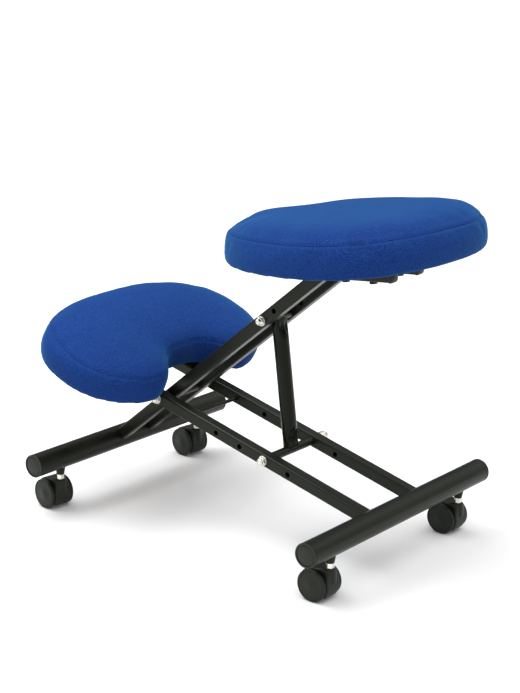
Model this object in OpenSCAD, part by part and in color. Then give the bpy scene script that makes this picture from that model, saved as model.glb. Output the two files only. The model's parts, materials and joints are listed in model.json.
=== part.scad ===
// Kneeling chair on castors: two frames crossing at a pivot bolt, held open by a strut.
// +Z up, the sitter faces -Y, the sitter's left is +X. Origin: middle of the footprint, on the floor.

/* [Cross tubes and castors] */
// overall length of a cross tube with its end caps
tube_len = 460; // [380:1:560]
// outside diameter of the two cross tubes
tube_d = 38; // [32:0.5:45]
// distance between the two cross tubes
wheelbase = 558; // [480:1:640]
// height of the cross tube centres
tube_z = 90; // [80:1:110]
// castor stem distance from the middle
castor_x = 170; // [120:1:200]
// wheel diameter
wheel_d = 50; // [40:1:60]
// castor trail
trail = 19; // [8:1:25]
// swivel angle of the front castors
swivel_front = -7; // [-45:1:45]
// swivel angle of the rear castors
swivel_rear = 0; // [-45:1:45]

/* [Frame bars] */
// side of the square bars
bar = 20; // [16:1:30]
// wall of the square bars
bar_t = 2; // [1.5:0.1:3]
// corner radius of the square bars
bar_r = 3.5; // [2:0.5:6]
// centre of each rail from the middle
rail_x = 61; // [50:0.5:80]
// slope of the rails, down to the rear
rail_a = 13.6; // [5:0.1:25]
// centre of each beam bar from the middle
beam_x = 33.7; // [28:0.1:40]
// slope of the beam, up to the rear
beam_a = 39.65; // [30:0.05:50]
// pivot distance behind the front tube
pivot_dy = 128; // [90:1:160]
// adjusting hole pitch
pitch = 50; // [30:1:60]
// first adjusting hole from the pivot
hole_1 = 128.8; // [100:0.1:160]
// hole in use, counted from the front
hole_used = 3; // [1:1:4]
// strut top from the pivot, along the beam
strut_top = 252; // [220:1:290]
// free strut hole beyond the used one
spare_hole = 31; // [25:1:40]
// diameter of the adjusting holes
adj_d = 8.5; // [6:0.1:12]
// outside diameter of the strut
strut_d = 25; // [20:0.5:32]

/* [Seat] */
// half width of the seat
seat_a = 194; // [150:1:230]
// half depth of the seat
seat_b = 190; // [140:1:220]
// seat tilt, front down
seat_tilt = 5.9; // [0:0.1:15]
// seat centre behind the pivot
seat_dy = 320; // [260:1:380]
// seat seam height
seat_z = 519; // [440:1:600]
// depth of the seat side
seat_h = 47; // [35:1:70]
// crown of the seat top above the seam
seat_crown = 17; // [5:1:30]

/* [Knee pad] */
// half width of the knee pad
knee_a = 219; // [180:1:240]
// half depth of the knee pad
knee_b = 129; // [100:1:160]
// knee pad tilt, down to the rear
knee_tilt = 21.4; // [10:0.1:35]
// knee pad centre ahead of the pivot
knee_dy = 59; // [20:1:100]
// knee pad seam height
knee_z = 287; // [240:1:340]
// depth of the knee pad side
knee_h = 44; // [30:1:60]
// crown of the knee pad above the seam
knee_crown = 16; // [5:1:30]
// depth of the notch for the beam
notch_d = 74; // [50:1:90]
// half width of the notch
notch_w = 75; // [55:1:90]

/* [Hidden] */
$fn = 64;
shift_y = -8.3;
tr = tube_d / 2;
yf = -wheelbase / 2 + shift_y;
yr = wheelbase / 2 + shift_y;
py = yf + pivot_dy;
pz = tube_z + pivot_dy * tan(beam_a) - 2.3;
hs = hole_1 + pitch * (hole_used - 1);
fy = py + hs * cos(rail_a);
fz = pz - hs * sin(rail_a);
ay = py + strut_top * cos(beam_a);
az = pz + strut_top * sin(beam_a);
strut_len = sqrt((fy - ay) * (fy - ay) + (fz - az) * (fz - az));
strut_a = atan2(fy - ay, az - fz);
bolt_r = 4;
run = 0.06;
rail_in = rail_x - bar / 2;
rail_out = rail_x + bar / 2;
stub_x = rail_x + 0.95;
beam_in = beam_x - bar / 2;
beam_out = beam_x + bar / 2;
sy = py + seat_dy;
strap_h = 10;
leg_z = -seat_h - strap_h - bar / 2;
qy = sy - leg_z * sin(seat_tilt);
qz = seat_z + leg_z * cos(seat_tilt);
bend_a = beam_a - seat_tilt;
corner_t = ((qz - pz) * cos(seat_tilt) - (qy - py) * sin(seat_tilt)) / sin(bend_a);
cy = py + corner_t * cos(beam_a);
cz = pz + corner_t * sin(beam_a);
leg_end = 100;
leg_len = leg_end - ((cy - qy) * cos(seat_tilt) + (cz - qz) * sin(seat_tilt));
strap_y = [18, 68];
ky = py - knee_dy;
rail_front = 138;
black = [0.10, 0.10, 0.11];
cap_black = [0.14, 0.14, 0.15];
zinc = [0.78, 0.79, 0.80];
cloth = [0.11, 0.24, 0.62];
ply = [0.78, 0.63, 0.42];

function sgnpow(v, p) = sign(v) * pow(abs(v), p);
function seat_pt(t, d) =
    let(x = seat_a * sgnpow(cos(t), 2 / 2.3), y = seat_b * sgnpow(sin(t), 2 / 2.3))
    let(x2 = x * (1 + 0.16 * y / seat_b) / 1.03)
    let(g = sqrt(x2 * x2 + y * y))
    [x2 * (1 - d / g), y * (1 - d / g)];
function knee_raw(t) =
    let(x = knee_a * sgnpow(cos(t), 2 / 2.4), y = knee_b * sgnpow(sin(t), 2 / 2.4))
    let(f = min(1, max(0, (y / knee_b + 0.5) / 0.7)))
    [x, y - notch_d * f / (1 + pow(abs(x) / notch_w, 4))];
function knee_pt(t, d) =
    let(p = knee_raw(t), a = knee_raw(t - 1), b = knee_raw(t + 1))
    let(u = b - a, g = sqrt(u[0] * u[0] + u[1] * u[1]) + 0.0001)
    [p[0] - d * u[1] / g, p[1] + d * u[0] / g];

module seat_outline(d) polygon([for (i = [0 : 63]) seat_pt(i * 360 / 64 + 1.3, d)]);
module knee_outline(d) polygon([for (i = [0 : 89]) knee_pt(i * 4 + 1.3, d)]);
module at_seat() translate([0, sy, seat_z]) rotate([seat_tilt, 0, 0]) children();
module at_knee() translate([0, ky, knee_z]) rotate([-knee_tilt, 0, 0]) children();
module along_x(y, z) translate([0, y, z]) rotate([0, 90, 0]) children();
module rounded(s, r) {
    square([s, s - 2 * r], center = true);
    square([s - 2 * r, s], center = true);
    for (i = [-1, 1], j = [-1, 1]) translate([i * (s / 2 - r), j * (s / 2 - r)]) circle(r);
}
module section() {
    difference() {
        rounded(bar, bar_r);
        rounded(bar - 2 * bar_t, bar_r - bar_t);
    }
}
module bore(y, z, r, x0, x1) translate([x0, y, z]) rotate([0, 90, 0]) cylinder(r = r, h = x1 - x0);
module castor_at(side, end) {
    translate([side * castor_x, end < 0 ? yf : yr, 0])
        rotate([0, 0, end < 0 ? swivel_front : swivel_rear]) children();
}

// cross tubes
module cross_tube(y) {
    color(black) difference() {
        along_x(y, tube_z) cylinder(r = tr, h = tube_len - 6, center = true);
        along_x(y, tube_z) cylinder(r = tr - 2, h = tube_len, center = true);
        for (s = [-1, 1]) translate([s * castor_x, y, tube_z - tr - 3]) cylinder(r = 5.1, h = 8);
    }
}
module tube_caps(y) {
    color(cap_black) for (s = [-1, 1])
        translate([s * (tube_len / 2 - 3), y, tube_z]) rotate([0, s * 90, 0]) {
        cylinder(r = tr - 0.8, h = 3);
        translate([0, 0, -12]) cylinder(r = tr - 2, h = 12.01);
        cylinder(r = tr, h = 2.2);
    }
}
module sockets(y) {
    color(black) for (s = [-1, 1]) difference() {
        translate([s * castor_x, y, 60.5]) cylinder(r1 = 6.2, r2 = 9.2, h = 15);
        along_x(y, tube_z) cylinder(r = tr, h = tube_len, center = true);
        translate([s * castor_x, y, 60]) cylinder(r = 5.1, h = 20);
    }
}
module front_tube() cross_tube(yf);
module rear_tube() cross_tube(yr);
module front_caps() tube_caps(yf);
module rear_caps() tube_caps(yr);
module front_sockets() sockets(yf);
module rear_sockets() sockets(yr);

// rear frame
module rail(s) {
    color(black) difference() {
        translate([s * rail_x, py, pz]) rotate([-rail_a, 0, 0]) translate([0, -rail_front, 0])
            rotate([-90, 0, 0]) linear_extrude(rail_front + 450) section();
        along_x(yr, tube_z) cylinder(r = tr, h = 300, center = true);
        bore(py, pz, bolt_r + run, s * rail_x - 15, s * rail_x + 15);
        for (h = [hole_1 : pitch : hole_1 + 3 * pitch])
            bore(py + h * cos(rail_a), pz - h * sin(rail_a), adj_d / 2, s * rail_x - 15, s * rail_x + 15);
    }
}
module rail_left() rail(1);
module rail_right() rail(-1);
module rail_brace() {
    color(black) bore(py + 66 * cos(rail_a), pz - 66 * sin(rail_a), 3.2, -rail_in, rail_in);
}
module knee_bracket(s) {
    x0 = s > 0 ? rail_out : -rail_out - 3;
    x1 = s > 0 ? rail_out : -rail_out - 38;
    color(black) {
        difference() {
            translate([x0, 0, 0]) rotate([90, 0, 90]) linear_extrude(3) polygon([
                [py - 130, pz + 130 * tan(rail_a) - 8],
                [py - 24, pz + 24 * tan(rail_a) - 8],
                [py - 24, knee_z - knee_h / cos(knee_tilt) + (ky - py + 24) * tan(knee_tilt) - 3],
                [py - 130, knee_z - knee_h / cos(knee_tilt) + (ky - py + 130) * tan(knee_tilt) - 3]]);
        }
        difference() {
            at_knee() translate([x1, -64, -knee_h - 3]) cube([38, 112, 3]);
            at_knee() for (v = [-50, 34])
                translate([s * (rail_out + 22), v, -knee_h - 4]) cylinder(r = 2.6, h = 6);
        }
    }
}
module knee_bracket_left() knee_bracket(1);
module knee_bracket_right() knee_bracket(-1);

// pivot
module dome(r) {
    rotate_extrude() intersection() {
        translate([0, 0]) square([r, r + 4]);
        union() {
            square([r, 3]);
            translate([0, 3]) circle(r);
        }
    }
}
module washer_x(y, z, x, r, h) {
    difference() {
        bore(y, z, r, x, x + h);
        bore(y, z, bolt_r + 0.2, x - 1, x + h + 1);
    }
}
module pivot_bolt() {
    color(zinc) {
        bore(py, pz, bolt_r, -rail_out - 1.6, rail_out + 6);
        translate([-rail_out - 1.6, py, pz]) rotate([0, -90, 0]) dome(6.5);
    }
}
module pivot_nut() {
    color(zinc) difference() {
        translate([rail_out + 1.6, py, pz]) rotate([0, 90, 0]) dome(6.5);
        bore(py, pz, bolt_r, rail_out - 1, rail_out + 6.2);
    }
}
module pivot_washers() {
    color(zinc) {
        washer_x(py, pz, rail_out, 8, 1.6);
        washer_x(py, pz, -rail_out - 1.6, 8, 1.6);
    }
}
module pivot_spacers() {
    color(black) {
        washer_x(py, pz, beam_out + 0.3, 7, rail_in - beam_out - 0.3);
        washer_x(py, pz, -rail_in, 7, rail_in - beam_out - 0.3);
    }
}
module pivot_sleeve() color(black) washer_x(py, pz, -beam_in, 8, 2 * beam_in);

// seat frame
module mitre(side) {
    translate([0, cy, cz]) rotate([(beam_a + seat_tilt) / 2, 0, 0])
        translate([0, side * 50, 0]) cube([200, 100, 100], center = true);
}
module beam(s) {
    color(black) difference() {
        translate([s * beam_x, py, pz]) rotate([beam_a, 0, 0]) translate([0, -160, 0])
            rotate([-90, 0, 0]) linear_extrude(160 + corner_t + 12) section();
        mitre(1);
        along_x(yf, tube_z) cylinder(r = tr, h = 300, center = true);
        bore(py, pz, bolt_r + run, s * beam_x - 15, s * beam_x + 15);
        bore(ay, az, bolt_r + 0.25, s * beam_x - 15, s * beam_x + 15);
        bore(ay + spare_hole * cos(beam_a), az + spare_hole * sin(beam_a), adj_d / 2,
            s * beam_x - 15, s * beam_x + 15);
    }
}
module seat_rail(s) {
    color(black) difference() {
        translate([s * beam_x, cy, cz]) rotate([seat_tilt, 0, 0]) translate([0, -12, 0])
            rotate([-90, 0, 0]) linear_extrude(leg_len + 12) section();
        mitre(-1);
        at_seat() for (v = strap_y) translate([s * beam_x, v, leg_z - 15]) cylinder(r = 3.2, h = 30);
    }
}
module seat_rail_left() seat_rail(1);
module seat_rail_right() seat_rail(-1);
module beam_left() beam(1);
module beam_right() beam(-1);
module beam_plugs() {
    color(cap_black) for (s = [-1, 1])
    at_seat() translate([s * beam_x, leg_end, leg_z]) rotate([-90, 0, 0]) {
        linear_extrude(5) rounded(bar + 3, 6);
        translate([0, 0, 5]) linear_extrude(3) rounded(bar - 1, 6);
        translate([0, 0, -12]) linear_extrude(12.01) rounded(bar - 2 * bar_t, bar_r - bar_t);
    }
}
module strut_tube() {
    color(black) difference() {
        translate([0, ay, az]) rotate([strut_a, 0, 0]) translate([0, 0, -strut_len]) difference() {
            cylinder(r = strut_d / 2, h = strut_len);
            translate([0, 0, -1]) cylinder(r = strut_d / 2 - 2, h = strut_len + 2);
        }
        bore(ay, az, 8, -30, 30);
        bore(fy, fz, 7, -30, 30);
        translate([0, ay, az]) rotate([strut_a, 0, 0])
            translate([0, 0, 20]) cube([60, 60, 40], center = true);
        translate([0, fy, fz]) rotate([strut_a, 0, 0])
            translate([0, 0, -20]) cube([60, 60, 40], center = true);
    }
}
module strut_top_sleeve() {
    color(black) difference() {
        bore(ay, az, 8, -beam_in + 0.3, beam_in - 0.3);
        bore(ay, az, bolt_r + run, -beam_in - 1, beam_in + 1);
    }
}
module strut_foot_sleeve() {
    color(black) difference() {
        bore(fy, fz, 7, -rail_in + 0.3, rail_in - 0.3);
        bore(fy, fz, bolt_r + 0.25, -rail_in - 1, rail_in + 1);
    }
}
module strut_bolt() {
    color(zinc) {
        bore(ay, az, bolt_r, -beam_out - 1.6, beam_out + 6);
        translate([-beam_out - 1.6, ay, az]) rotate([0, -90, 0]) dome(6.5);
    }
}
module strut_nut() {
    color(zinc) difference() {
        translate([beam_out + 1.6, ay, az]) rotate([0, 90, 0]) dome(6.5);
        bore(ay, az, bolt_r, beam_out - 1, beam_out + 6.2);
    }
}
module strut_washers() {
    color(zinc) {
        washer_x(ay, az, beam_out, 8, 1.6);
        washer_x(ay, az, -beam_out - 1.6, 8, 1.6);
    }
}
module foot_bolts() {
    color(zinc) for (s = [-1, 1]) {
        bore(fy, fz, bolt_r, s * stub_x - 10.65, s * stub_x + 10.65);
        translate([s * (rail_out + 1.6) + (s < 0 ? -9 : 0), fy, fz]) rotate([0, s * 90, 0]) dome(6.5);
    }
    color(zinc) translate([-rail_out - 10.7, fy, fz]) rotate([0, 90, 0]) cylinder(r = 7.2, h = 9.1, $fn = 6);
}
module foot_washers() {
    color(zinc) {
        washer_x(fy, fz, rail_out, 8, 1.6);
        washer_x(fy, fz, -rail_out - 1.6, 8, 1.6);
    }
}

// seat
module strap(v) {
    color(black) difference() {
        at_seat() translate([-110, v - 14, -seat_h - strap_h]) cube([220, 28, strap_h]);
        at_seat() translate([-111, v - 12.5, -seat_h - strap_h + 1.5]) cube([222, 25, strap_h - 3]);
        at_seat() for (u = [-beam_x, beam_x])
            translate([u, v, -seat_h - strap_h - 1]) cylinder(r = 3.2, h = 20);
        at_seat() for (u = [-92, 92]) translate([u, v, -seat_h - strap_h - 1]) cylinder(r = 2.6, h = 20);
    }
}
module seat_strap_front() strap(strap_y[0]);
module seat_strap_rear() strap(strap_y[1]);
module seat_board() {
    color(ply) at_seat() difference() {
        translate([0, 0, -seat_h]) linear_extrude(12) seat_outline(16);
        for (v = strap_y, u = [-beam_x, beam_x]) translate([u, v, -seat_h - 1]) cylinder(r = 3.1, h = 11);
        for (v = strap_y, u = [-92, 92]) translate([u, v, -seat_h - 1]) cylinder(r = 2.1, h = 10);
    }
}
module seat_cushion() {
    color(cloth) at_seat() difference() {
        intersection() {
            translate([0, 0, -seat_h]) linear_extrude(seat_h + seat_crown + 5) seat_outline(0);
            translate([0, 0, seat_crown - 900]) sphere(r = 900, $fn = 160);
        }
        translate([0, 0, -seat_h - 1]) linear_extrude(13.2) seat_outline(15.8);
    }
}
module seat_bolts() {
    color(black) at_seat() for (v = strap_y, u = [-beam_x, beam_x]) translate([u, v, leg_z - bar / 2 - 4]) {
        cylinder(r = 6, h = 4, $fn = 6);
        cylinder(r = 3, h = 4 + bar + strap_h + 9);
    }
}
module seat_screws() {
    color(zinc) at_seat() for (v = strap_y, u = [-92, 92]) translate([u, v, -seat_h - strap_h - 2]) {
        cylinder(r1 = 3, r2 = 4.5, h = 2);
        cylinder(r = 2, h = 2 + strap_h + 8);
    }
}

// knee pad
module knee_board() {
    color(ply) at_knee() difference() {
        translate([0, 0, -knee_h]) linear_extrude(12) knee_outline(14);
        for (s = [-1, 1], v = [-50, 34])
            translate([s * (rail_out + 22), v, -knee_h - 1]) cylinder(r = 2.1, h = 10);
    }
}
module knee_cushion() {
    color(cloth) at_knee() difference() {
        intersection() {
            translate([0, 0, -knee_h]) linear_extrude(knee_h + knee_crown + 5) knee_outline(0);
            translate([0, 0, knee_crown - 900]) sphere(r = 900, $fn = 160);
        }
        translate([0, 0, -knee_h - 1]) linear_extrude(13.2) knee_outline(13.8);
    }
}
module knee_screws() {
    color(zinc) at_knee() for (s = [-1, 1], v = [-50, 34])
    translate([s * (rail_out + 22), v, -knee_h - 5]) {
        cylinder(r1 = 3, r2 = 4.5, h = 2);
        cylinder(r = 2, h = 13);
    }
}

// castors
module stem() {
    color(zinc) {
        translate([0, 0, 33]) cylinder(r = 5, h = 47);
        translate([0, 0, 52.8]) cylinder(r = 6.4, h = 7.7, $fn = 6);
    }
}
module hood() {
    w = 30;
    color(cap_black) difference() {
        union() {
            translate([0, -trail, wheel_d / 2]) rotate([0, 90, 0])
                cylinder(r = wheel_d / 2 + 1.4, h = w, center = true);
            translate([0, 0, 30]) cylinder(r = 9, h = 22.3);
        }
        translate([0, 0, 32.5]) cylinder(r = 5.06, h = 30);
        translate([-22, -trail, wheel_d / 2]) rotate([0, 90, 0]) cylinder(r = 3.05, h = 44);
        translate([-w, 0, 0]) rotate([90, 0, 90]) linear_extrude(2 * w) polygon([
            [-trail - 30, 26], [-trail - 9, 26], [-trail - 9, 14], [-trail + 9, 14], [-trail + 12, 9],
            [-trail + 30, 9], [-trail + 30, -5], [-trail - 30, -5]]);
    }
}
module axle() color(zinc) translate([-19, -trail, wheel_d / 2]) rotate([0, 90, 0]) cylinder(r = 3, h = 38);
module wheel(s) {
    r = wheel_d / 2;
    color(cap_black) translate([0, -trail, r]) rotate([0, s * 90, 0]) difference() {
        rotate_extrude()
            polygon([[0, 15.8], [r - 1, 15.8], [r, 16.8], [r, 20], [r - 2, 22], [0, 22]]);
        translate([0, 0, 10]) cylinder(r = 3.05, h = 9.4);
    }
}
module stem_fl() castor_at(1, -1) stem();
module stem_fr() castor_at(-1, -1) stem();
module stem_rl() castor_at(1, 1) stem();
module stem_rr() castor_at(-1, 1) stem();
module hood_fl() castor_at(1, -1) hood();
module hood_fr() castor_at(-1, -1) hood();
module hood_rl() castor_at(1, 1) hood();
module hood_rr() castor_at(-1, 1) hood();
module axle_fl() castor_at(1, -1) axle();
module axle_fr() castor_at(-1, -1) axle();
module axle_rl() castor_at(1, 1) axle();
module axle_rr() castor_at(-1, 1) axle();
module wheel_fl_a() castor_at(1, -1) wheel(1);
module wheel_fl_b() castor_at(1, -1) wheel(-1);
module wheel_fr_a() castor_at(-1, -1) wheel(1);
module wheel_fr_b() castor_at(-1, -1) wheel(-1);
module wheel_rl_a() castor_at(1, 1) wheel(1);
module wheel_rl_b() castor_at(1, 1) wheel(-1);
module wheel_rr_a() castor_at(-1, 1) wheel(1);
module wheel_rr_b() castor_at(-1, 1) wheel(-1);

front_tube();
rear_tube();
front_caps();
rear_caps();
front_sockets();
rear_sockets();
rail_left();
rail_right();
rail_brace();
knee_bracket_left();
knee_bracket_right();
pivot_bolt();
pivot_nut();
pivot_washers();
pivot_spacers();
pivot_sleeve();
beam_left();
beam_right();
seat_rail_left();
seat_rail_right();
beam_plugs();
strut_tube();
strut_top_sleeve();
strut_foot_sleeve();
strut_bolt();
strut_nut();
strut_washers();
foot_bolts();
foot_washers();
seat_strap_front();
seat_strap_rear();
seat_board();
seat_cushion();
seat_bolts();
seat_screws();
knee_board();
knee_cushion();
knee_screws();
stem_fl();
stem_fr();
stem_rl();
stem_rr();
hood_fl();
hood_fr();
hood_rl();
hood_rr();
axle_fl();
axle_fr();
axle_rl();
axle_rr();
wheel_fl_a();
wheel_fl_b();
wheel_fr_a();
wheel_fr_b();
wheel_rl_a();
wheel_rl_b();
wheel_rr_a();
wheel_rr_b();
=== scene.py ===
import json
import math
import bpy
import bmesh
from mathutils import Matrix, Vector
from mathutils.bvhtree import BVHTree
from mathutils.kdtree import KDTree


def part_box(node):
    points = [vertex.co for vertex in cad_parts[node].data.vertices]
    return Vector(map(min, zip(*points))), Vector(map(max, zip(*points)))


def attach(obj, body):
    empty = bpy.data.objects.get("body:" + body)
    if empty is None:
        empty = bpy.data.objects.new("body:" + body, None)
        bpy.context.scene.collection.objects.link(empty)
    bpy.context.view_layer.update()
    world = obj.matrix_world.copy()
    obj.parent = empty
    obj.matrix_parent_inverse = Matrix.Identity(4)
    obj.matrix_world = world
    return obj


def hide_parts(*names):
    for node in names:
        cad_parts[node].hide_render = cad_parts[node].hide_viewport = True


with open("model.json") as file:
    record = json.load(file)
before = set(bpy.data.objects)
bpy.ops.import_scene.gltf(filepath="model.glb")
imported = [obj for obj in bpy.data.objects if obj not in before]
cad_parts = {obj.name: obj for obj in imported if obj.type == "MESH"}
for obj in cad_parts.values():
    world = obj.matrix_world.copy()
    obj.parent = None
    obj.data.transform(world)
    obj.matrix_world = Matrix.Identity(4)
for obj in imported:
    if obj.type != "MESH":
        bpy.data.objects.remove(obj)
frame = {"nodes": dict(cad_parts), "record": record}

NODES = frame["nodes"]
SCENE = bpy.context.scene
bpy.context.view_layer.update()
MM = 0.001
rad = math.radians

# ---------------------------------------------------------------- layout, in millimetres and degrees
# cross tubes: height, radius, half the wheelbase, length
TUBE_Z, TUBE_R, HALF_BASE, TUBE_LEN = 90.0, 19.0, 279.0, 460.0
# the frame is centred on its footprint, so the tubes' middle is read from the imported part
SHIFT_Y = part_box("rear_tube")[0][1] / MM + TUBE_R - HALF_BASE
YF, YR = SHIFT_Y - HALF_BASE, SHIFT_Y + HALF_BASE
# slopes of the beam bars and of the rails
BEAM_A, RAIL_A = 39.65, 13.6
# the pivot bolt, then the strut's foot along the rails and its top along the beams
PIVOT_RUN, PIVOT_DROP, FOOT_RUN, TOP_RUN = 128.0, 2.3, 228.8, 252.0
PY = YF + PIVOT_RUN
PZ = TUBE_Z + PIVOT_RUN * math.tan(rad(BEAM_A)) - PIVOT_DROP
FOOT = (PY + FOOT_RUN * math.cos(rad(RAIL_A)), PZ - FOOT_RUN * math.sin(rad(RAIL_A)))
TOP = (PY + TOP_RUN * math.cos(rad(BEAM_A)), PZ + TOP_RUN * math.sin(rad(BEAM_A)))
# half spacings of the rails and beams, and the width of the square bar
RAIL_X, BEAM_X, BAR = 61.0, 33.7, 20.0
CASTOR_X, TRAIL, WHEEL_R = 170.0, 19.0, 25.0
SWIVEL = {"f": -7.0, "r": 0.0}
# cushions: seam-level middle, tilt and depth of the side band
SEAT = dict(y=PY + 320.0, z=519.0, tilt=5.9, h=47.0)
KNEE = dict(y=PY - 59.0, z=287.0, tilt=-21.4, h=44.0)


# ---------------------------------------------------------------- mesh helpers
def make(name, verts, faces, scale=MM):
    """A smooth-shaded mesh object from points in millimetres."""
    me = bpy.data.meshes.new(name)
    me.from_pydata([tuple(c * scale for c in v) for v in verts], [], faces)
    me.update()
    ob = bpy.data.objects.new(name, me)
    SCENE.collection.objects.link(ob)
    bm = bmesh.new()
    bm.from_mesh(me)
    bmesh.ops.recalc_face_normals(bm, faces=bm.faces)
    bm.to_mesh(me)
    bm.free()
    me.shade_smooth()
    return ob


def rings_mesh(name, rings, cap0=True, cap1=True, closed_path=False):
    """Skins a list of equal-length closed rings of points in millimetres."""
    n = len(rings[0])
    verts = [p for r in rings for p in r]
    faces = []
    last = len(rings) if closed_path else len(rings) - 1
    for i in range(last):
        a, b = i * n, ((i + 1) % len(rings)) * n
        for k in range(n):
            faces.append((a + k, a + (k + 1) % n, b + (k + 1) % n, b + k))
    if cap0 and not closed_path:
        faces.append(tuple(range(n))[::-1])
    if cap1 and not closed_path:
        a = (len(rings) - 1) * n
        faces.append(tuple(range(a, a + n)))
    return make(name, verts, faces)


def split_normals(ob, angle=35):
    m = ob.modifiers.new("split", "EDGE_SPLIT")
    m.split_angle = rad(angle)


def apply_modifiers(ob, steps):
    """Adds and applies modifiers to the active object, in order."""
    for kind, settings in steps:
        mod = ob.modifiers.new(kind, kind)
        for key, value in settings.items():
            setattr(mod, key, value)
        bpy.ops.object.modifier_apply(modifier=kind)


def frame_at(origin, axis, side=None):
    """Matrix in millimetres whose local Z points along axis."""
    z = Vector(axis).normalized()
    s = Vector(side) if side else (Vector((1, 0, 0)) if abs(z.x) < 0.9 else Vector((0, 1, 0)))
    y = z.cross(s).normalized()
    x = y.cross(z).normalized()
    m = Matrix((x, y, z)).transposed().to_4x4()
    m.translation = Vector(origin)
    return m


def lathe(name, profile, m, n=64, radius=None):
    """Turns (r, z) pairs about local Z. radius(angle, r, i) can change a ring."""
    rings = []
    for i, (r, z) in enumerate(profile):
        ring = []
        for k in range(n):
            a = 2 * math.pi * k / n
            q = radius(a, r, i) if radius else r
            ring.append(tuple(m @ Vector((q * math.cos(a), q * math.sin(a), z))))
        rings.append(ring)
    return rings_mesh(name, rings)


def arc(cx, cz, r, a0, a1, n):
    """Points (x, z) on a circular arc from a0 to a1 degrees."""
    angles = [rad(a0 + (a1 - a0) * i / n) for i in range(n + 1)]
    return [(cx + r * math.cos(w), cz + r * math.sin(w)) for w in angles]


# ---------------------------------------------------------------- materials
class Nodes:
    """A small wrapper that keeps node materials short."""

    def __init__(self, name):
        self.mat = bpy.data.materials.new(name)
        self.mat.use_nodes = True
        self.t = self.mat.node_tree
        self.bsdf = self.t.nodes["Principled BSDF"]

    def put(self, **kw):
        for k, v in kw.items():
            self.bsdf.inputs[k.replace("_", " ")].default_value = v

    def new(self, kind, **inputs):
        n = self.t.nodes.new(kind)
        for k, v in inputs.items():
            if k.startswith("p_"):
                setattr(n, k[2:], v)
            else:
                s = n.inputs[int(k[1:])] if k[1:].isdigit() else n.inputs[k.replace("_", " ")]
                if isinstance(v, bpy.types.NodeSocket):
                    self.t.links.new(v, s)
                else:
                    s.default_value = v
        return n

    def link(self, a, b):
        self.t.links.new(a, self.bsdf.inputs[b] if isinstance(b, str) else b)

    def coords(self):
        return self.new("ShaderNodeTexCoord").outputs["Object"]

    def noise(self, vec, scale, detail=3.0, rough=0.5):
        node = self.new("ShaderNodeTexNoise", Vector=vec, Scale=scale, Detail=detail, Roughness=rough)
        return node.outputs[0]

    def ramp(self, fac, stops):
        n = self.new("ShaderNodeValToRGB", Fac=fac)
        e = n.color_ramp.elements
        while len(e) < len(stops):
            e.new(0.5)
        for i, (p, c) in enumerate(stops):
            e[i].position = p
            e[i].color = c if len(c) == 4 else (*c, 1.0)
        return n.outputs[0]

    def mix(self, fac, a, b, mode="MIX"):
        n = self.new("ShaderNodeMix", p_data_type="RGBA", p_blend_type=mode)
        for s, v in ((n.inputs[0], fac), (n.inputs[6], a), (n.inputs[7], b)):
            if isinstance(v, bpy.types.NodeSocket):
                self.t.links.new(v, s)
            else:
                s.default_value = v if not isinstance(v, tuple) or len(v) == 4 else (*v, 1.0)
        return n.outputs[2]

    def math(self, op, a, b=0.0):
        n = self.new("ShaderNodeMath", p_operation=op)
        for s, v in ((n.inputs[0], a), (n.inputs[1], b)):
            if isinstance(v, bpy.types.NodeSocket):
                self.t.links.new(v, s)
            else:
                s.default_value = v
        return n.outputs[0]

    def map(self, v, a, b, c, d):
        node = self.new("ShaderNodeMapRange", Value=v, From_Min=a, From_Max=b, To_Min=c, To_Max=d)
        return node.outputs[0]

    def bump(self, height, strength, dist):
        n = self.new("ShaderNodeBump", Height=height, Strength=strength, Distance=dist)
        self.link(n.outputs[0], "Normal")


SPEC_TINT = (0.93, 1.0, 0.80, 1.0)


def mat_paint(name, rough, depth, gloss):
    """Powder coat with a fine orange peel. depth scales its two near-black greens."""
    m = Nodes(name)
    v = m.coords()
    peel = m.noise(v, 900.0, 2.0)
    cloud = m.noise(v, 14.0, 4.0)
    dark = tuple(c * depth for c in (0.0045, 0.0054, 0.0040))
    light = tuple(c * depth for c in (0.0075, 0.0088, 0.0066))
    m.link(m.mix(m.map(cloud, 0.3, 0.75, 0.0, 1.0), dark, light), "Base Color")
    sheen = m.map(cloud, 0.3, 0.7, rough, rough + 0.09)
    m.link(m.math("ADD", sheen, m.map(peel, 0.3, 0.7, -0.04, 0.04)), "Roughness")
    m.put(Specular_IOR_Level=gloss, Specular_Tint=SPEC_TINT)
    m.bump(peel, 0.12, 0.0004)
    return m.mat


def mat_plastic(name, dark, light, rough):
    """Moulded plastic with a fine even grain."""
    m = Nodes(name)
    v = m.coords()
    grain = m.noise(v, 1300.0, 3.0, 0.6)
    cloud = m.noise(v, 22.0, 3.0)
    m.link(m.mix(m.map(cloud, 0.3, 0.7, 0.0, 1.0), dark, light), "Base Color")
    speckle = m.map(grain, 0.3, 0.7, rough - 0.06, rough + 0.06)
    m.link(m.math("ADD", speckle, m.map(cloud, 0.3, 0.7, -0.04, 0.04)), "Roughness")
    m.put(Specular_IOR_Level=0.26, Specular_Tint=(0.90, 1.0, 0.84, 1.0))
    m.bump(grain, 0.25, 0.0003)
    return m.mat


def mat_zinc():
    m = Nodes("bright_zinc_plate")
    v = m.coords()
    cloud = m.noise(v, 160.0, 4.0)
    fine = m.noise(v, 1800.0, 2.0)
    m.link(m.mix(m.map(cloud, 0.3, 0.7, 0.0, 1.0), (0.62, 0.61, 0.52), (0.80, 0.80, 0.74)), "Base Color")
    m.link(m.map(cloud, 0.3, 0.7, 0.20, 0.36), "Roughness")
    m.put(Metallic=1.0)
    m.bump(fine, 0.15, 0.0002)
    return m.mat


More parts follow.
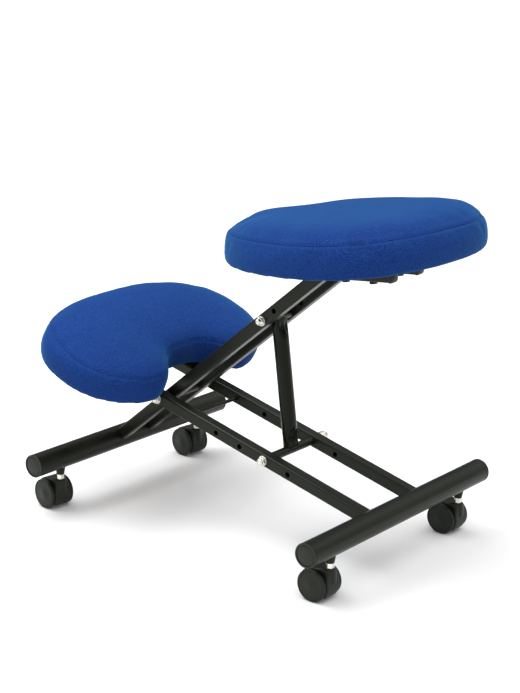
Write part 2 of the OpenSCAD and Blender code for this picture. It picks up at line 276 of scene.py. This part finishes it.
def mat_wood():
    m = Nodes("birch_plywood")
    v = m.coords()
    n = m.new("ShaderNodeMapping", Vector=v, Scale=(6.0, 90.0, 6.0))
    grain = m.noise(n.outputs[0], 1.4, 6.0, 0.6)
    pores = m.noise(n.outputs[0], 9.0, 2.0)
    c = m.ramp(grain, [(0.3, (0.42, 0.27, 0.14)), (0.5, (0.60, 0.42, 0.24)), (0.72, (0.72, 0.54, 0.34))])
    m.link(m.mix(m.map(pores, 0.55, 0.75, 0.0, 0.35), c, (0.25, 0.15, 0.07)), "Base Color")
    m.link(m.map(grain, 0.3, 0.7, 0.55, 0.72), "Roughness")
    m.bump(pores, 0.2, 0.0004)
    return m.mat


def mat_fabric(name, tilt, y, z):
    """Fine crepe weave: yarn rows in the pad's own plane and a pebbly surface."""
    m = Nodes(name)
    local = m.new("ShaderNodeMapping", p_vector_type="TEXTURE", Vector=m.coords(),
                  Location=(0, y * MM, z * MM), Rotation=(rad(tilt), 0, 0)).outputs[0]
    warp = m.new("ShaderNodeTexNoise", Vector=local, Scale=60.0, Detail=2.0).outputs["Color"]
    bent = m.new("ShaderNodeMix", p_data_type="VECTOR", Factor=0.004)
    m.link(local, bent.inputs[4])
    m.link(warp, bent.inputs[5])
    v = bent.outputs[1]
    pebble = m.new("ShaderNodeTexVoronoi", Vector=v, Scale=470.0, Randomness=0.8).outputs["Distance"]
    rows = m.new("ShaderNodeTexWave", p_bands_direction="DIAGONAL", Vector=v, Scale=210.0, Distortion=2.0,
                 Detail=2.0, Detail_Scale=2.0).outputs["Fac"]
    fuzz = m.noise(v, 1500.0, 3.0, 0.7)
    cloud = m.noise(v, 7.0, 4.0, 0.6)
    weave = m.math("ADD", m.math("MULTIPLY", m.map(pebble, 0.0, 0.75, 1.0, 0.0), 0.6),
                   m.math("ADD", m.math("MULTIPLY", rows, 0.25), m.math("MULTIPLY", fuzz, 0.25)))
    # the weave's colour follows the same relief as its bump: painted shade in the weave's hollows and a
    # painted highlight on its raised tops
    base = m.ramp(weave, [(0.25, (0.0036, 0.0190, 0.102)), (0.62, (0.0062, 0.0320, 0.158)),
                          (0.95, (0.0105, 0.0495, 0.224))])
    mottle = m.noise(v, 240.0, 3.0, 0.65)
    shade = m.mix(m.map(mottle, 0.3, 0.7, 0.0, 1.0), (0.74, 0.78, 0.80), (1.0, 1.0, 1.0))
    cloth = m.mix(m.map(cloud, 0.35, 0.7, 0.0, 0.22), base, (0.0082, 0.0415, 0.195))
    m.link(m.mix(1.0, m.mix(1.0, cloth, shade, "MULTIPLY"), (1.13, 1.13, 1.13), "MULTIPLY"), "Base Color")
    m.link(m.map(fuzz, 0.3, 0.7, 0.78, 0.94), "Roughness")
    m.put(Sheen_Weight=0.26, Sheen_Roughness=0.35, Sheen_Tint=(0.08, 0.55, 1.0, 1.0))
    m.put(Specular_IOR_Level=0.08)
    m.bump(weave, 0.40, 0.0006)
    return m.mat


PAINT = mat_paint("black_powder_coat", 0.31, 1.0, 0.21)
GLOSS = mat_paint("black_gloss_coat", 0.17, 0.5, 0.15)
CAPS = mat_plastic("cap_polyethylene", (0.0085, 0.0095, 0.0080), (0.013, 0.0145, 0.012), 0.42)
NYLON = mat_plastic("castor_nylon", (0.0058, 0.0062, 0.0050), (0.0105, 0.0110, 0.0092), 0.48)
ZINC = mat_zinc()
WOOD = mat_wood()
SEAT_CLOTH = mat_fabric("seat_blue_crepe", SEAT["tilt"], SEAT["y"], SEAT["z"])
KNEE_CLOTH = mat_fabric("knee_blue_crepe", KNEE["tilt"], KNEE["y"], KNEE["z"])
SLOT_MATERIAL = {"black_paint": PAINT, "black_caps": CAPS, "black_nylon": NYLON, "zinc_plate": ZINC,
                 "plywood": WOOD, "blue_fabric": SEAT_CLOTH}


def finish_piece(ob, body, slot, material=None):
    """Gives a new piece its material, looked up by slot unless one is passed, and its body."""
    ob.data.materials.clear()
    ob.data.materials.append(material or SLOT_MATERIAL[slot])
    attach(ob, body)
    return ob


# ---------------------------------------------------------------- CAD nodes that stay
NODE_SLOT = {s["node"]: s["material_slot"] for s in frame["record"]["subparts"]}
for node_name, ob in NODES.items():
    ob.data.materials.clear()
    ob.data.materials.append(SLOT_MATERIAL[NODE_SLOT[node_name]])
    ob.data.shade_smooth()
    weld = ob.modifiers.new("weld", "WELD")
    weld.merge_threshold = 0.00001
    split_normals(ob, 32)


# ---------------------------------------------------------------- cushions
PAD_PRESSURE, PAD_CAP, CORD_R, VOXEL, CLOTH_FRAMES = 4.0, 5.0, 0.9, 0.0045, 20


def spow(v, p):
    return math.copysign(abs(v) ** p, v)


SEAT_A, SEAT_B, SEAT_N, SEAT_TAPER = 194.0, 190.0, 2.3, 0.19


def seat_pt(t, d=0.0):
    """Seat outline: a superellipse that narrows towards the front, inset by d."""
    x, y = SEAT_A * spow(math.cos(t), 2 / SEAT_N), SEAT_B * spow(math.sin(t), 2 / SEAT_N)
    x = x * (1 + SEAT_TAPER * y / SEAT_B) / 1.045
    g = math.hypot(x, y)
    return x * (1 - d / g), y * (1 - d / g)


KNEE_A, KNEE_B, KNEE_SHIFT = 213.0, 129.0, 6.5
NOTCH_DEPTH, NOTCH_HALF, NOTCH_X, NOTCH_POWER = 74.0, 72.5, 3.0, 4.8


def knee_raw(t):
    """Knee pad outline: a superellipse with a notch pressed into its rear edge."""
    n = 2.4 if math.sin(t) > 0 else 2.35
    x, y = KNEE_A * spow(math.cos(t), 2 / n) + KNEE_SHIFT, KNEE_B * spow(math.sin(t), 2 / n)
    f = min(1.0, max(0.0, (y / KNEE_B + 0.5) / 0.7))
    return x, y - NOTCH_DEPTH * f / (1 + (abs(x + NOTCH_X) / NOTCH_HALF) ** NOTCH_POWER)


def knee_pt(t, d=0.0):
    """Knee pad outline inset by d along its normal."""
    p, a, b = knee_raw(t), knee_raw(t - 0.02), knee_raw(t + 0.02)
    u, v = b[0] - a[0], b[1] - a[1]
    g = math.hypot(u, v) + 1e-9
    return p[0] - d * v / g, p[1] + d * u / g


FINE = 1440


def outline(pt, d, n=240):
    """The outline inset by d, spaced evenly along its length."""
    raw = [pt(2 * math.pi * (k + 0.37) / FINE, d) for k in range(FINE)]
    acc = [0.0]
    for i in range(FINE):
        a, b = raw[i], raw[(i + 1) % FINE]
        acc.append(acc[-1] + math.hypot(b[0] - a[0], b[1] - a[1]))
    out, j = [], 0
    for k in range(n):
        s = acc[-1] * k / n
        while acc[j + 1] < s:
            j += 1
        f = (s - acc[j]) / (acc[j + 1] - acc[j] + 1e-12)
        a, b = raw[j], raw[(j + 1) % FINE]
        out.append((a[0] + (b[0] - a[0]) * f, a[1] + (b[1] - a[1]) * f))
    return out


def pad_matrix(p):
    """From a cushion's own frame to the row frame, in millimetres."""
    m = Matrix.Rotation(rad(p["tilt"]), 4, "X")
    m.translation = Vector((0, p["y"], p["z"]))
    return m


def edge_distance(pt_list, x, y):
    """Shortest distance from (x, y) to the closed outline."""
    best = 1e9
    n = len(pt_list)
    for i in range(n):
        ax, ay = pt_list[i]
        bx, by = pt_list[(i + 1) % n]
        dx, dy = bx - ax, by - ay
        t = max(0.0, min(1.0, ((x - ax) * dx + (y - ay) * dy) / (dx * dx + dy * dy + 1e-9)))
        best = min(best, math.hypot(x - ax - t * dx, y - ay - t * dy))
    return best


def calm_top(ob, m, edge, top, keep):
    """Draws the top panel towards its intended crown; keep is how much of its own waviness stays."""
    inv = m.inverted()
    near = []
    for v in ob.data.vertices:
        q = inv @ (v.co / MM)
        if q.z > 8.5:
            d = edge_distance(edge, q.x, q.y)
            if d > 6.0:
                near.append((v, q, top(q.x, q.y, d), min(1.0, (d - 6.0) / 10.0)))
    mean = sum(q.z - z for _, q, z, _ in near) / len(near)
    for v, q, z, w in near:
        q.z -= w * (1.0 - keep) * (q.z - z - mean)
        v.co = (m @ q) * MM


def swell(ob, pressure, cap_mm, m, h, edge, top):
    """Remesh, cloth under inner pressure, capped, applied. The underside holds still."""
    bpy.context.view_layer.objects.active = ob
    apply_modifiers(ob, (("REMESH", {"mode": "VOXEL", "voxel_size": VOXEL}),))
    calm_top(ob, m, edge, top, 0.0)
    start = [v.co.copy() for v in ob.data.vertices]
    inv = m.inverted()
    pins = ob.vertex_groups.new(name="pins")
    for v in ob.data.vertices:
        q = inv @ (v.co / MM)
        if q.z < -h + 3.0:
            pins.add([v.index], 1.0, "REPLACE")
    cloth = ob.modifiers.new("cloth", "CLOTH")
    st = cloth.settings
    st.use_pressure = True
    st.uniform_pressure_force = pressure
    st.vertex_group_mass = "pins"
    st.effector_weights.gravity = 0.0
    st.quality = 5
    st.mass = 0.3
    st.tension_stiffness = 25
    st.compression_stiffness = 25
    st.shear_stiffness = 12
    st.bending_stiffness = 1.5
    cloth.collision_settings.use_collision = False
    cloth.point_cache.frame_start = 1
    cloth.point_cache.frame_end = CLOTH_FRAMES
    for f in range(1, CLOTH_FRAMES + 1):
        SCENE.frame_set(f)
    bpy.ops.object.modifier_apply(modifier="cloth")
    SCENE.frame_set(1)
    cap = cap_mm * MM
    for v, s in zip(ob.data.vertices, start):
        d = v.co - s
        if d.length > cap:
            v.co = s + d * (cap / d.length)
    calm_top(ob, m, edge, top, 0.3)
    upper = ob.vertex_groups.new(name="upper")
    for v in ob.data.vertices:
        upper.add([v.index], min(1.0, max(0.0, ((inv @ (v.co / MM)).z + 12.0) / 12.0)), "REPLACE")
    apply_modifiers(ob, (("SMOOTH", {"iterations": 10, "factor": 0.5}),
                         ("SMOOTH", {"iterations": 16, "factor": 0.5, "vertex_group": "upper"}),
                         ("SUBSURF", {"levels": 1})))
    ob.data.shade_smooth()


def swept_tube(name, path, r, n=10):
    """Closed tube through a closed list of points, millimetres."""
    rings = []
    k = len(path)
    for i in range(k):
        p, a, b = Vector(path[i]), Vector(path[i - 1]), Vector(path[(i + 1) % k])
        t = (b - a).normalized()
        side = t.cross(Vector((0, 0, 1)))
        side = side.normalized() if side.length > 1e-6 else Vector((1, 0, 0))
        up = side.cross(t).normalized()
        turn = [2 * math.pi * j / n for j in range(n)]
        rings.append([tuple(p + side * (r * math.cos(w)) + up * (r * math.sin(w))) for w in turn])
    return rings_mesh(name, rings, closed_path=True)


def block_pad(name, pt, p, profile, top):
    """A closed block: the outline follows a side profile of (inset, z), then a crowned top."""
    m = pad_matrix(p)
    n = 240
    edge = outline(pt, 0.0, n)
    side = [[(x, y, z) for x, y in outline(pt, d, n)] for d, z in profile]
    bm = bmesh.new()
    rings = [[bm.verts.new(Vector(v)) for v in ring] for ring in side]
    for a, b in zip(rings, rings[1:]):
        for k in range(n):
            bm.faces.new((a[k], a[(k + 1) % n], b[(k + 1) % n], b[k]))
    bm.faces.new(rings[0][::-1])
    top_face = bm.faces.new(rings[-1])
    top_z = profile[-1][1] - 0.5
    bmesh.ops.triangulate(bm, faces=[top_face])
    for _ in range(4):
        long_edges = [e for e in bm.edges
                      if e.calc_length() > 20.0 and all(v.co.z > top_z for v in e.verts)]
        if not long_edges:
            break
        bmesh.ops.subdivide_edges(bm, edges=long_edges, cuts=1, use_grid_fill=False)
        bmesh.ops.triangulate(bm, faces=[f for f in bm.faces if len(f.verts) > 4])
    for v in bm.verts:
        if v.co.z > top_z:
            v.co.z = top(v.co.x, v.co.y, edge_distance(edge[::4], v.co.x, v.co.y))
    for v in bm.verts:
        v.co = (m @ v.co) * MM
    bmesh.ops.recalc_face_normals(bm, faces=bm.faces)
    me = bpy.data.meshes.new(name)
    bm.to_mesh(me)
    bm.free()
    ob = bpy.data.objects.new(name, me)
    SCENE.collection.objects.link(ob)
    return ob, m


# side profiles, from the underside up: (inset from the outline, height in the pad's own frame)
SEAT_PROFILE = ((18.0, -47.0), (15.0, -48.5), (9.0, -50.0), (4.0, -50.0), (1.2, -48.4),
                (-0.6, -44.0), (-2.2, -36.0), (-3.2, -26.0), (-3.0, -17.0), (-2.0, -9.0),
                (-0.6, -3.0), (1.2, 1.0), (4.0, 4.6), (8.0, 7.8))
KNEE_PROFILE = ((16.0, -44.0), (13.0, -45.5), (8.0, -47.0), (4.0, -47.0), (1.0, -45.2),
                (-0.8, -40.0), (-2.6, -32.0), (-3.2, -22.0), (-3.0, -14.0), (-2.2, -6.0),
                (-0.6, 0.0), (2.0, 4.0), (6.0, 7.0))


def bell(x, y, cx, cy, sx, sy):
    return math.exp(-((x - cx) / sx) ** 2 - ((y - cy) / sy) ** 2)


def seat_top(x, y, d):
    """Steep shoulders, a nearly flat middle and two shallow thigh dips at the front."""
    rise = 1.0 + 16.4 * (1 - math.exp(-max(d - 1.2, 0.0) / 20.0))
    inside = min(1.0, max(0.0, (d - 2) / 18.0))
    dips = bell(x, y, -84, -152, 56, 48) + bell(x, y, 84, -152, 56, 48)
    return rise - 8.5 * dips * inside + 1.5 * inside * min(1.0, max(0.0, (y + 60) / 120.0))


def knee_top(x, y, d):
    """Rounded crown that falls a little towards both ends."""
    rise = 4.0 + 17.0 * (1 - math.exp(-max(d - 2.0, 0.0) / 28.0))
    return rise - 4.5 * min(1.0, (abs(x) / 205.0) ** 3)


def seat_seam_z(x, y):
    return -0.5 + 1.5 * bell(x, y, 60, 190, 110, 90)


def knee_seam_z(x, y):
    return 2.0


def sew(name, ob, pt, m, seam_z, r, cloth, body):
    """The seam between the top panel and the side band: a shallow groove and a thin sunk cord."""
    tree = BVHTree.FromObject(ob, bpy.context.evaluated_depsgraph_get())
    inv = m.inverted()
    count = 480
    path = []
    for (ax, ay), (bx, by) in zip(outline(pt, -25.0, count), outline(pt, 18.0, count)):
        z = seam_z(ax, ay)
        a, b = m @ Vector((ax, ay, z)) * MM, m @ Vector((bx, by, z)) * MM
        hit = tree.ray_cast(a, (b - a).normalized())
        path.append(inv @ (hit[0] / MM) if hit[0] else inv @ (b / MM))
    for _ in range(6):
        path = [(path[i - 1] + path[i] * 2 + path[(i + 1) % count]) / 4 for i in range(count)]
    line = KDTree(count * 2)
    for i, q in enumerate(path):
        line.insert(q, i)
        line.insert((q + path[(i + 1) % count]) / 2, i)
    line.balance()
    to_pad = inv @ Matrix.Scale(1 / MM, 4)
    for v in ob.data.vertices:
        q = to_pad @ v.co
        if abs(q.z) > 18.0:
            continue
        d = line.find(q)[2]
        if d < 12.0:
            groove = 1.2 * math.exp(-(d / 2.6) ** 2) - 0.2 * math.exp(-((d - 6.0) / 3.0) ** 2)
            v.co -= v.normal * (groove * MM)
    cord = []
    for i, q in enumerate(path):
        t = path[(i + 2) % count] - path[i - 2]
        out = Vector((t.y, -t.x, 0)).normalized()
        cord.append(tuple(m @ (q - out * 1.25 - Vector((0, 0, 0.4)))))
    ob2 = swept_tube(name, cord, r, 8)
    finish_piece(ob2, body, "blue_fabric", cloth)
    return ob2


def pad(name, node, pt, p, profile, top, seam_z, body, cloth, pressure, cap):
    """One whole cushion: block, swelling, seam, and what it replaces."""
    ob, m = block_pad(name, pt, p, profile, top)
    swell(ob, pressure, cap, m, p["h"], outline(pt, 0.0, 60), top)
    sew(name + "_seam", ob, pt, m, seam_z, CORD_R, cloth, body)
    finish_piece(ob, body, "blue_fabric", cloth)
    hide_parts(node)
    return ob


pad("seat_pad", "seat_cushion", seat_pt, SEAT, SEAT_PROFILE, seat_top, seat_seam_z,
    "seat_frame", SEAT_CLOTH, PAD_PRESSURE, PAD_CAP)
pad("knee_pad", "knee_cushion", knee_pt, KNEE, KNEE_PROFILE, knee_top, knee_seam_z,
    "rear_frame", KNEE_CLOTH, PAD_PRESSURE, PAD_CAP)

# ---------------------------------------------------------------- castors
def castor_matrix(side, end):
    m = Matrix.Rotation(rad(SWIVEL["f" if end < 0 else "r"]), 4, "Z")
    m.translation = Vector((side * CASTOR_X, YF if end < 0 else YR, 0))
    return m


HUB_HALF, HUB_R, HOOD_VOXEL, HOOD_STEPS = 15.2, 8.0, 0.0009, 44
NECK_PROFILE = ((0.1, 30), (9.4, 30), (9.4, 44), (8.9, 49), (8.4, 51.6), (7.6, 52.3), (0.1, 52.3))


def hood_mesh():
    """One moulded fender between the wheels and the neck that holds the stem, as one soft casting.

    The rings run about the axle from below the stem (-44 degrees), over the top, to the far side.
    The shoulder is the swelling under the stem, 50 degrees up."""
    axis_y, axis_z, inner = -TRAIL, WHEEL_R, 5.0
    rings = []
    for k in range(HOOD_STEPS + 1):
        a = -44.0 + 222.0 * k / HOOD_STEPS
        shoulder = math.exp(-((a - 50.0) / 20.0) ** 2)
        half = HUB_HALF - 3.6 * shoulder
        outer = 26.7 + 7.8 * shoulder
        edge = 1.8 + 2.6 * shoulder
        section = [(-half + edge, inner), (-half, inner + 1), (-half, outer - edge),
                   (-half + 0.3 * edge, outer - 0.3 * edge), (-half + edge, outer)]
        section += [(-x, r) for x, r in reversed(section)]
        cos_a, sin_a = math.cos(rad(a)), math.sin(rad(a))
        rings.append([(x, axis_y + r * cos_a, axis_z + r * sin_a) for x, r in section])
    body = rings_mesh("hood_body", rings)
    neck = lathe("hood_neck", NECK_PROFILE, Matrix.Identity(4), 40)
    hub = lathe("hood_hub", [(0.1, -HUB_HALF), (HUB_R, -HUB_HALF), (HUB_R, HUB_HALF), (0.1, HUB_HALF)],
                frame_at((0, axis_y, axis_z), (1, 0, 0)), 32)
    bpy.ops.object.select_all(action="DESELECT")
    for ob in (body, neck, hub):
        ob.select_set(True)
    bpy.context.view_layer.objects.active = body
    bpy.ops.object.join()
    apply_modifiers(body, (("REMESH", {"mode": "VOXEL", "voxel_size": HOOD_VOXEL}),
                           ("SMOOTH", {"iterations": 5, "factor": 0.5})))
    body.data.shade_smooth()
    me = body.data
    bpy.data.objects.remove(body)
    return me


# (r, x) from the inner bore, round the tread, to the outer disc and its thin rim groove
WHEEL_PROFILE = ([(3.1, 16.0), (8.0, 16.0), (8.5, 16.9), (21.0, 16.9), (21.6, 16.0)]
                 + arc(23.6, 17.4, 1.4, -90, 0, 5) + arc(23.4, 20.2, 1.6, 0, 80, 7)
                 + [(22.2, 21.85), (21.9, 21.3), (21.5, 21.3), (21.2, 21.7),
                    (7.2, 21.8), (6.9, 21.95), (0.1, 22.0)])


def placed(name, me, m, body, slot):
    copy = me.copy()
    scale = Matrix.Scale(MM, 4)
    copy.transform(scale @ m @ scale.inverted())
    ob = bpy.data.objects.new(name, copy)
    SCENE.collection.objects.link(ob)
    return finish_piece(ob, body, slot)


HOOD = hood_mesh()
for tag, side, end in (("fl", 1, -1), ("fr", -1, -1), ("rl", 1, 1), ("rr", -1, 1)):
    at = castor_matrix(side, end)
    hood = placed("castor_hood_" + tag, HOOD, at, "castor_" + tag, "black_nylon")
    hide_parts("hood_" + tag)
    for letter, sign in (("a", 1), ("b", -1)):
        spin = at @ frame_at((0, -TRAIL, WHEEL_R), (sign, 0, 0))
        wheel = lathe(f"castor_wheel_{tag}_{letter}", WHEEL_PROFILE, spin, 72)
        split_normals(wheel, 40)
        finish_piece(wheel, f"wheel_{tag}_{letter}", "black_nylon")
        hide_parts(f"wheel_{tag}_{letter}")


# ---------------------------------------------------------------- tube caps, strut, plugs, fasteners
# (r, x) from inside the tube to the face, x = 0 at the tube's end
CAP_PROFILE = ([(0.1, -13.0), (14.6, -13.0), (16.2, -11.0), (16.9, -0.2), (17.0, 0.7)]
               + arc(18.5, 1.3, 0.6, -90, 0, 4) + arc(18.1, 2.1, 1.0, 0, 90, 5)
               + [(16.6, 3.1), (16.1, 2.8), (15.9, 1.9), (15.3, 1.6), (15.0, 2.2), (14.2, 2.5), (0.1, 2.6)])
CAP_LIP = 3
for y, node, body in ((YF, "front_caps", "seat_frame"), (YR, "rear_caps", "rear_frame")):
    for side, word in ((1, "left"), (-1, "right")):
        tube_end = frame_at((side * (TUBE_LEN / 2 - CAP_LIP), y, TUBE_Z), (side, 0, 0))
        cap = lathe(f"{node}_{word}", CAP_PROFILE, tube_end, 72)
        split_normals(cap, 40)
        finish_piece(cap, body, "black_caps")
        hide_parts(node)


STRUT_R, FLAT_HALF, FLAT_WIDE = 12.5, 7.6, 14.6


def strut_mesh():
    """Round tube whose two ends are pressed flat onto their sleeves, with two crimps in each."""
    m = frame_at((0, FOOT[0], FOOT[1]), (0, TOP[0] - FOOT[0], TOP[1] - FOOT[1]), (1, 0, 0))
    length = math.hypot(TOP[0] - FOOT[0], TOP[1] - FOOT[1])
    stations = [2.0, 4.0, 8.0, 12.0, 15.0, 18.0, 21.0, 24.0, 27.0, 31.0, 35.0, 40.0, 48.0]
    stations += [length / 2] + [length - q for q in reversed(stations)]
    rings = []
    for z in stations:
        end = min(z, length - z)
        low = z < length / 2
        f = max(0.0, 1 - max(0.0, end - 12.0) / (30.0 if low else 24.0))
        f = f * f * (3 - 2 * f)
        thick = STRUT_R + (FLAT_HALF - STRUT_R) * f
        wide = STRUT_R + (FLAT_WIDE - STRUT_R) * f
        power = 1.0 - 0.30 * f
        dent = 4.6 * f * math.exp(-((end - 22.0) / 8.0) ** 2)
        ring = []
        for k in range(96):
            a = 2 * math.pi * k / 96
            x, y = wide * spow(math.cos(a), power), thick * spow(math.sin(a), power)
            crimp = dent * math.exp(-((abs(x) - 5.5) / 2.6) ** 2)
            ring.append(tuple(m @ Vector((x, y - math.copysign(crimp, y), z))))
        rings.append(ring)
    ob = rings_mesh("strut_body", rings)
    mod = ob.modifiers.new("sub", "SUBSURF")
    mod.levels = mod.render_levels = 1
    return ob


strut = finish_piece(strut_mesh(), "strut", "black_paint", GLOSS)
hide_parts("strut_tube")


SHANK_R, DOME_R, HEX_FLAT = 4.0, 5.7, 6.5


def acorn(name, x, y, z, side, stem, hex_len=5.0, size=1.0, node=None, body=None):
    """Dome nut with a chamfered hexagon, and a shank that runs inward by stem."""
    m = frame_at((x, y, z), (side, 0, 0))
    prof = [(0.1, -stem), (SHANK_R, -stem), (SHANK_R, 0.0), (6.4, 0.0), (7.3, 0.7),
            (7.3, hex_len - 1.0), (6.2, hex_len)]
    prof += arc(0.0, hex_len, DOME_R, 4, 90, 9)[:-1] + [(0.1, hex_len + DOME_R)]
    prof = prof[:3] + [(r * size, z) for r, z in prof[3:]]
    flats = range(3, 7)

    def radius(a, r, i):
        if i not in flats:
            return r
        b = (a + rad(12)) % (math.pi / 3) - math.pi / 6
        return min(r, HEX_FLAT * size / math.cos(b))

    ob = lathe(name, prof, m, 48, radius)
    split_normals(ob, 30)
    finish_piece(ob, body, "zinc_plate")
    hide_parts(node)
    return ob


WASHER = 1.6
RAIL_OUT, BEAM_OUT = RAIL_X + BAR / 2 + WASHER, BEAM_X + BAR / 2 + WASHER
acorn("pivot_dome_nut", RAIL_OUT, PY, PZ, 1, 2.0, node="pivot_nut", body="rear_frame")
acorn("pivot_dome_bolt", -RAIL_OUT, PY, PZ, -1, 148.0, node="pivot_bolt", body="rear_frame")
acorn("strut_dome_nut", BEAM_OUT, TOP[0], TOP[1], 1, 2.0, node="strut_nut", body="seat_frame")
acorn("strut_dome_bolt", -BEAM_OUT, TOP[0], TOP[1], -1, 94.0, node="strut_bolt", body="seat_frame")
acorn("foot_dome_left", RAIL_OUT, FOOT[0], FOOT[1], 1, 21.0, node="foot_bolts", body="rear_frame")
acorn("foot_dome_right", -RAIL_OUT, FOOT[0], FOOT[1], -1, 21.0, 14.0, 1.2,
      node="foot_bolts", body="rear_frame")


# (x, half width, squareness) along the plug, from its inner end to the dome
PLUG_PROFILE = ((-12.0, 7.0, 3.0), (-11.0, 7.8, 2.6), (-0.1, 7.9, 2.6), (0.0, 10.4, 2.7),
                (0.8, 11.0, 2.6), (2.6, 11.1, 2.6), (4.2, 10.5, 2.6), (5.8, 9.2, 2.5),
                (7.0, 7.0, 2.4), (7.7, 4.0, 2.2), (8.0, 0.8, 2.0))
PLUG_Y, PLUG_Z = 100.0, -67.0


def plug_mesh(side):
    """Push-in end plug of a square bar: shank, flange and domed head."""
    m = pad_matrix(SEAT) @ Matrix.Translation((side * BEAM_X, PLUG_Y, PLUG_Z))
    m = m @ Matrix.Rotation(rad(-90), 4, "X")
    turn = [2 * math.pi * k / 48 for k in range(48)]
    rings = []
    for z, r, n in PLUG_PROFILE:
        p = 2 / (n * 1.6)
        rings.append([tuple(m @ Vector((r * spow(math.cos(w), p), r * spow(math.sin(w), p), z)))
                      for w in turn])
    return rings_mesh("beam_plug_left" if side > 0 else "beam_plug_right", rings)


for side in (1, -1):
    plug = finish_piece(plug_mesh(side), "seat_frame", "black_caps")
    split_normals(plug, 50)
    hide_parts("beam_plugs")

# ---------------------------------------------------------------- camera, light, floor
cam_data = bpy.data.cameras.new("camera")
cam = bpy.data.objects.new("camera", cam_data)
SCENE.collection.objects.link(cam)
# azimuth, elevation and roll of the view, with its place and lens, fitted to the frame's straight edges
az, el, roll = rad(129.14), rad(16.19), rad(0.59)
back = Vector((math.sin(az) * math.cos(el), -math.cos(az) * math.cos(el), math.sin(el)))
right = (-back).cross(Vector((0, 0, 1))).normalized()
up = right.cross(-back)
r2 = right * math.cos(roll) + up * math.sin(roll)
u2 = up * math.cos(roll) - right * math.sin(roll)
cam.matrix_world = Matrix((r2, u2, back)).transposed().to_4x4()
cam.location = (1.95922, 1.59959 + SHIFT_Y * MM, 1.03017)
cam_data.sensor_fit = "HORIZONTAL"
cam_data.sensor_width = 36.0
cam_data.lens = 114.79846
cam_data.clip_end = 300.0
SCENE.camera = cam

FLOOR_HALF = 60000
corners = [(-1, -1), (1, -1), (1, 1), (-1, 1)]
floor = make("floor", [(x * FLOOR_HALF, y * FLOOR_HALF, 0) for x, y in corners], [(0, 1, 2, 3)])
fm = Nodes("pale_floor")
pale = [(0.3, (0.745, 0.745, 0.745)), (0.7, (0.765, 0.765, 0.765))]
fm.link(fm.ramp(fm.noise(fm.coords(), 1.5, 2.0), pale), "Base Color")
fm.put(Roughness=0.9)
floor.data.materials.append(fm.mat)

world = bpy.data.worlds.new("studio")
SCENE.world = world
world.use_nodes = True
wt = world.node_tree


def world_node(kind, values=(), **settings):
    node = wt.nodes.new(kind)
    for key, value in settings.items():
        setattr(node, key, value)
    for i, value in enumerate(values):
        if isinstance(value, bpy.types.NodeSocket):
            wt.links.new(value, node.inputs[i])
        elif value is not None:
            node.inputs[i].default_value = value
    return node


direction = world_node("ShaderNodeTexCoord").outputs["Generated"]
height = world_node("ShaderNodeSeparateXYZ", [direction]).outputs[2]
square = world_node("ShaderNodeMath", [height, 2.0], operation="POWER").outputs[0]
dome_light = world_node("ShaderNodeMapRange", [square, 0.0, 1.0, 0.50, 2.9]).outputs[0]
# one side of the studio is dimmer, which keeps the black frame dark there
dim_side = (-0.75, -0.60, 0.0)
away = world_node("ShaderNodeVectorMath", [direction, dim_side], operation="DOT_PRODUCT")
backdrop = world_node("ShaderNodeMapRange", [away.outputs["Value"], 0.35, 0.85, 1.0, 0.22]).outputs[0]
glow = world_node("ShaderNodeMath", [dome_light, backdrop], operation="MULTIPLY").outputs[0]
wt.links.new(glow, wt.nodes["Background"].inputs[1])
wt.nodes["Background"].inputs[0].default_value = (1.0, 1.0, 1.0, 1.0)


def softbox(name, loc, target, size, power):
    """A rectangular area light aimed at target; metres and watts."""
    data = bpy.data.lights.new(name, "AREA")
    data.shape = "RECTANGLE"
    data.size, data.size_y = size
    data.energy = power
    ob = bpy.data.objects.new(name, data)
    SCENE.collection.objects.link(ob)
    ob.location = loc
    ob.rotation_euler = (Vector(target) - Vector(loc)).to_track_quat("-Z", "Y").to_euler()


softbox("key", (0.5, -0.9, 2.8), (0, 0, 0.3), (1.8, 1.8), 47.0)
softbox("fill", (2.6, 0.6, 2.2), (0, 0, 0.3), (1.8, 1.2), 8.0)
SCENE.view_settings.view_transform = "Standard"
